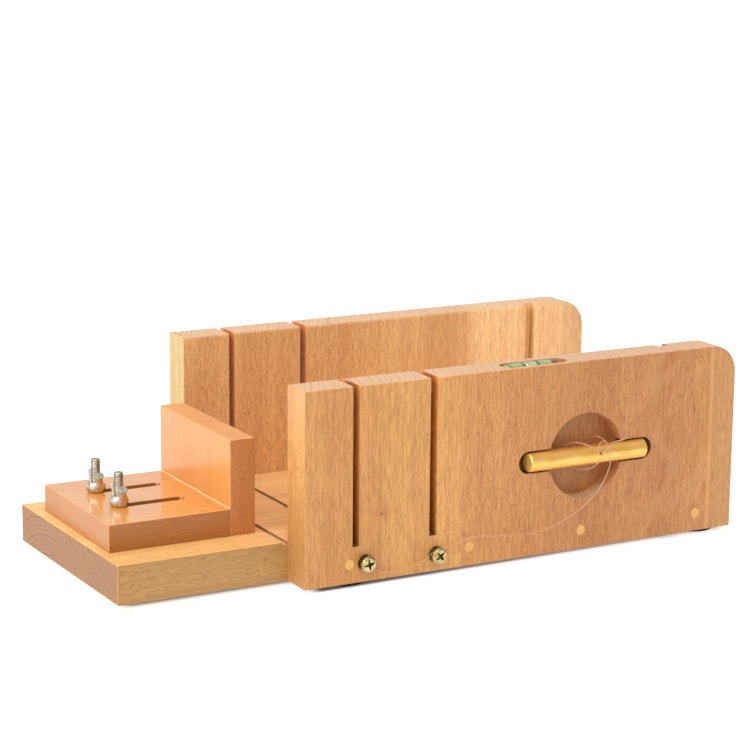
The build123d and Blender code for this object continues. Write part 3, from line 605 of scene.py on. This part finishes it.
def vial():
    """Clear acrylic tube with its two marker rings and a dark hollow end."""
    g = Graph("clear_acrylic")
    x, y, z = g.object_mm()
    def ring(at, half):
        return g.math("SUBTRACT", 1.0, g.step(g.math("ABSOLUTE", g.math("SUBTRACT", x, at)), half * 0.6, half))
    rings = g.math("MAXIMUM", ring(45.0, 0.55), ring(53.9, 0.55))
    n = g.noise(g.combine(x, y, z), 1.5, 2.0, 0.5)
    colour = g.mix(n, lin(246, 250, 238), lin(238, 246, 226))
    colour = g.mix(rings, colour, lin(44, 62, 20))
    s = g.principled(Base_Color=colour, Roughness=0.02)
    g.put(s.inputs["Transmission Weight"], g.math("SUBTRACT", 1.0, rings))
    s.inputs["IOR"].default_value = 1.06
    s.inputs["Coat Weight"].default_value = 1.0
    s.inputs["Coat Roughness"].default_value = 0.03
    return g.mat


def vial_liquid():
    g = Graph("level_liquid_green")
    x, y, z = g.object_mm()
    n = g.noise(g.combine(g.math("MULTIPLY", x, 0.4), y, z), 1.0, 2.0, 0.5)
    # painted shade: the liquid darker towards the bottom of the tube
    low = g.step(z, 102.6, 98.0)
    colour = g.mix(low, lin(168, 190, 110), lin(78, 128, 52))
    colour = g.mix(g.math("MULTIPLY", n, 0.3), colour, lin(214, 226, 160))
    bubble = g.math("MULTIPLY", g.step(x, 46.3, 46.9), g.step(x, 53.1, 52.5))
    colour = g.mix(g.math("MULTIPLY", bubble, g.step(z, 98.6, 100.6)), colour, lin(238, 240, 206))
    s = g.principled(Base_Color=colour, Roughness=0.12)
    s.inputs["Transmission Weight"].default_value = 0.15
    s.inputs["IOR"].default_value = 1.33
    return g.mat


dowel_wood = dowel_end()
rubber = plain("black_rubber", lin(30, 29, 29), 0.7)
steel = nickel_plate("nickel_steel", lin(180, 178, 174), lin(160, 152, 130), lin(96, 88, 74), 0.5)
# painted light: a brighter copy of the same nickel, for the wing nuts
nut_steel_lit_copy = nickel_plate("nickel_nut_lit_copy", lin(212, 208, 200), lin(198, 186, 158), lin(120, 104, 80), 0.35)
zinc = screw_plate()
brass = turned_brass()
acrylic = vial()
liquid = vial_liquid()
plug = plain("level_plug_plastic", lin(206, 198, 110), 0.25, Subsurface_Weight=0.2, Coat_Weight=0.6)
line_mat = plain("translucent_line", lin(242, 212, 184), 0.22, Transmission_Weight=0.8, IOR=1.2)
glue = plain("varnish_bead", lin(246, 190, 122), 0.25, grain=0.1, scale=500.0, Coat_Weight=0.6)
hair_mat = plain("torn_fibre", lin(236, 190, 146), 0.6, grain=0.15)


def paint(node, material):
    me = nodes[node].data
    me.materials.clear()
    me.materials.append(material)


for node, material in {
    "base_board": base_wood, "front_wall": front_wood, "rear_wall": rear_wood, "front_wall_dowels": dowel_wood,
    "rear_wall_dowels": dowel_wood, "rubber_feet": rubber, "clamp_bolts": steel, "clamp_bolt_washers": steel,
    "wire_screws": zinc, "wire_screw_washers": zinc, "level_tube": acrylic, "level_liquid": liquid, "level_end_plug": plug,
    "stop_plate": plate_wood, "stop_upright": upright_wood, "stop_dowels": dowel_wood, "near_wing_nut": nut_steel_lit_copy,
    "far_wing_nut": nut_steel_lit_copy, "handle_rod": brass, "cutting_wire": line_mat,
}.items():
    paint(node, material)

# ------------------------------------------------------------------------------- wire
wire = new_object("wire_strand", tube_mesh("wire_strand", wire_line, WIRE_D / 2, 10), [line_mat])
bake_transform(wire)
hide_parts("cutting_wire")

# ------------------------------------------------------------------- clamp bolts with real threads
BOLT_X, BOLT_YS = -150.7, (-7.6, 22.7)
SEAT_Z, BOLT_TOP, THREAD_Z0, BOLT_R, PITCH = 5.9, 54.5, 20.0, 2.45, 0.8


def threaded_shank(cx, cy, z0, z1, turn, sides=32):
    """A right-hand M5 thread above THREAD_Z0 and a plain shank below it, closed at both ends, in metres."""
    rows = [z0, THREAD_Z0 - 0.4]
    z = THREAD_Z0
    while z < z1 - 1e-6:
        rows.append(z)
        z += PITCH / 7
    rows.append(z1)
    verts, faces = [], []
    for z in rows:
        for k in range(sides):
            share = k / sides
            phase = (z / PITCH - share + turn) % 1.0
            tooth = min(1.0, max(0.0, (1 - abs(2 * phase - 1)) * 1.4 - 0.12))
            r = BOLT_R if z < THREAD_Z0 else BOLT_R - 0.3 * (1 - tooth)
            r = min(r, BOLT_R - max(0.0, z - (z1 - 0.6)) * 0.9)
            a = 2 * math.pi * share
            verts.append(Vector(((cx + r * math.cos(a)) * MM, (cy + r * math.sin(a)) * MM, z * MM)))
    n = len(rows)
    for i in range(n - 1):
        for k in range(sides):
            j = (k + 1) % sides
            faces.append((i * sides + k, i * sides + j, (i + 1) * sides + j, (i + 1) * sides + k))
    verts.append(Vector((cx * MM, cy * MM, rows[0] * MM)))
    verts.append(Vector((cx * MM, cy * MM, rows[-1] * MM)))
    for k in range(sides):
        j = (k + 1) % sides
        faces.append((len(verts) - 2, j, k))
        faces.append((len(verts) - 1, (n - 1) * sides + k, (n - 1) * sides + j))
    return verts, faces


heads = bmesh.new()
heads.from_mesh(nodes["clamp_bolts"].data)
heads.transform(nodes["clamp_bolts"].matrix_world)
cut = bmesh.ops.bisect_plane(heads, geom=heads.verts[:] + heads.edges[:] + heads.faces[:], plane_co=(0, 0, (SEAT_Z + 0.6) * MM), plane_no=(0, 0, 1), clear_outer=True)
bmesh.ops.holes_fill(heads, edges=[e for e in heads.edges if e.is_boundary], sides=0)
head_mesh = bpy.data.meshes.new("bolt_heads_tmp")
heads.to_mesh(head_mesh)
heads.free()
head_data = ([v.co.copy() for v in head_mesh.vertices], [tuple(p.vertices) for p in head_mesh.polygons])
bpy.data.meshes.remove(head_mesh)
shanks = [threaded_shank(BOLT_X, y, SEAT_Z + 0.1, BOLT_TOP, 0.3 * i) for i, y in enumerate(BOLT_YS)]
bolts_mesh = mesh_from("threaded_clamp_bolts", *join_data([head_data] + shanks), smooth=False)
flat = len(head_data[1])
bolts_mesh.polygons.foreach_set("use_smooth", [i >= flat for i in range(len(bolts_mesh.polygons))])
bolts = new_object("threaded_clamp_bolts", bolts_mesh, [steel])
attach(bolts, "root")
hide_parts("clamp_bolts")

# --------------------------------------------------------- varnish bead in the stop's inner corner
random.seed(7)
bead = []
steps = 90
for i in range(steps + 1):
    t = i / steps
    bead.append(((-103.75 + random.uniform(-0.06, 0.06)) * MM, (-37.6 + 85.2 * t) * MM, (36.95 + random.uniform(-0.05, 0.05)) * MM))
bead_taper = [0.75 + 0.45 * abs(math.sin(i * 0.37) * math.sin(i * 0.11)) + random.uniform(-0.12, 0.2) for i in range(steps + 1)]
bead_taper[0] = bead_taper[-1] = 0.5
corner_bead = new_object("corner_varnish_bead", tube_mesh("corner_varnish_bead", bead, 0.5 * MM, 10, bead_taper), [glue])
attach(corner_bead, "stop")


# ------------------------------------------------------------------ torn fibres left by the saw
def tuft(at, out, count, long, spread, thick=0.055):
    """Fine curved fibres that start near at and lean along out; millimetres."""
    items = []
    for _ in range(count):
        start = Vector(at) + Vector([random.uniform(-1, 1) * s for s in spread])
        lean = Vector(out) + Vector([random.uniform(-0.7, 0.7) for _ in range(3)])
        curl = Vector([random.uniform(-0.5, 0.5) for _ in range(3)])
        length = long * random.uniform(0.5, 1.1)
        pts = []
        for k in range(6):
            t = k / 5
            pts.append((start + (lean * t + curl * t * t) * length) * MM)
        items.append(tube_data(pts, thick * MM * random.uniform(0.7, 1.3), 5, [1, 0.95, 0.85, 0.7, 0.5, 0.25]))
    return items


hairs = []
for z, many in ((89.9, 9), (52.2, 7), (45.4, 6), (78.0, 3), (30.0, 3)):
    hairs += tuft((-8.3, -78.2, z), (-0.7, -0.15, 0.25), many, 1.5, (0.1, 0.3, 1.3))
for x, z, many in ((-52.3, 98.5, 9), (-52.3, 60.0, 2), (-12.4, 96.0, 3), (-56.1, 40.0, 2)):
    hairs += tuft((x, -78.2, z), (-0.6 if x in (-52.3,) else 0.6, -0.1, 0.3), many, 1.4, (0.1, 0.3, 1.6))
hairs += tuft((-82.6, -58.9, 22.7), (-0.5, -0.3, 0.35), 9, 1.3, (1.2, 0.5, 0.05))
hairs += tuft((-85.2, -58.6, 22.7), (0.6, -0.2, 0.4), 6, 1.2, (0.3, 0.8, 0.05))
fibres = new_object("torn_fibres", mesh_from("torn_fibres", *join_data(hairs)), [hair_mat])
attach(fibres, "root")

# ---------------------------------------------------------------------------------------- stage
floor_mesh = mesh_from("floor", [(-8, -8, 0), (8, -8, 0), (8, 8, 0), (-8, 8, 0)], [(0, 1, 2, 3)], smooth=False)
g = Graph("pale_floor")
t = g.node("ShaderNodeTexCoord")
n = g.noise(t.outputs["Object"], 3.0, 2.0, 0.5)
fx, fy, _ = g.object_mm()
# painted shadow: the floor darkened and its glow turned down under the object's footprint, fading along x
near_x = g.math("MULTIPLY", g.step(fx, -78.0, -70.0), g.step(fx, 175.0, 171.0))
skewed = g.math("SUBTRACT", fy, g.math("MULTIPLY", g.math("ADD", fx, 80.0), 0.016))
near_y = g.math("MULTIPLY", g.step(skewed, -77.8, -74.0), g.step(fy, 84.0, 80.0))
left_x = g.math("MULTIPLY", g.step(fx, -171.0, -163.0), g.step(fx, -72.0, -78.0))
left_y = g.math("MULTIPLY", g.step(fy, -57.5, -51.5), g.step(fy, 64.0, 58.0))
shadow_fade_x = g.linear(fx, -60.0, 150.0, 0.95, 0.6)
painted_shadow = g.math("MAXIMUM", g.math("MULTIPLY", g.math("MULTIPLY", near_x, near_y), shadow_fade_x), g.math("MULTIPLY", g.math("MULTIPLY", left_x, left_y), 0.8))
pale = g.mix(g.math("MULTIPLY", painted_shadow, 0.8), g.mix(n, (0.62, 0.625, 0.64), (0.64, 0.645, 0.66)), (0.05, 0.045, 0.04))
s = g.principled(Base_Color=pale, Roughness=0.7)
s.inputs["Emission Color"].default_value = (1, 1, 1, 1)
g.put(s.inputs["Emission Strength"], g.linear(painted_shadow, 0.0, 1.0, 0.62, 0.02))
floor = new_object("floor", floor_mesh, [g.mat])

world = bpy.data.worlds.new("studio")
scene.world = world
world.use_nodes = True
tree = world.node_tree
back = tree.nodes["Background"]
coord = tree.nodes.new("ShaderNodeTexCoord")
toward = tree.nodes.new("ShaderNodeVectorMath")
toward.operation = "DOT_PRODUCT"
toward.inputs[1].default_value = Vector((0.75, -0.66, 0.0)).normalized()
tree.links.new(coord.outputs["Generated"], toward.inputs[0])
fade = tree.nodes.new("ShaderNodeMapRange")
fade.interpolation_type = "SMOOTHSTEP"
fade.inputs["From Min"].default_value = -0.1
fade.inputs["From Max"].default_value = 0.85
fade.inputs["To Min"].default_value = 0.8
fade.inputs["To Max"].default_value = 0.45
tree.links.new(toward.outputs["Value"], fade.inputs["Value"])
back.inputs[0].default_value = (1.0, 1.0, 1.0, 1)
tree.links.new(fade.outputs["Result"], back.inputs[1])


def softbox(name, at, aim, size, power, colour=(1, 1, 1)):
    data = bpy.data.lights.new(name, "AREA")
    data.shape = "RECTANGLE"
    data.size, data.size_y = size
    data.energy = power
    data.color = colour
    o = bpy.data.objects.new(name, data)
    scene.collection.objects.link(o)
    o.location = at
    o.rotation_euler = (Vector(aim) - Vector(at)).to_track_quat("-Z", "Y").to_euler()
    return o


softbox("key", (-1.9, -0.5, 1.3), (0, 0, 0.05), (1.2, 1.2), 26.0)
softbox("front", (-0.6, -1.6, 1.9), (0, 0.05, 0.05), (1.3, 1.3), 22.0)
softbox("top", (0.1, 0.2, 2.2), (0, 0, 0), (1.6, 1.6), 8.0)

scene.view_settings.view_transform = "Standard"
scene.view_settings.look = "None"
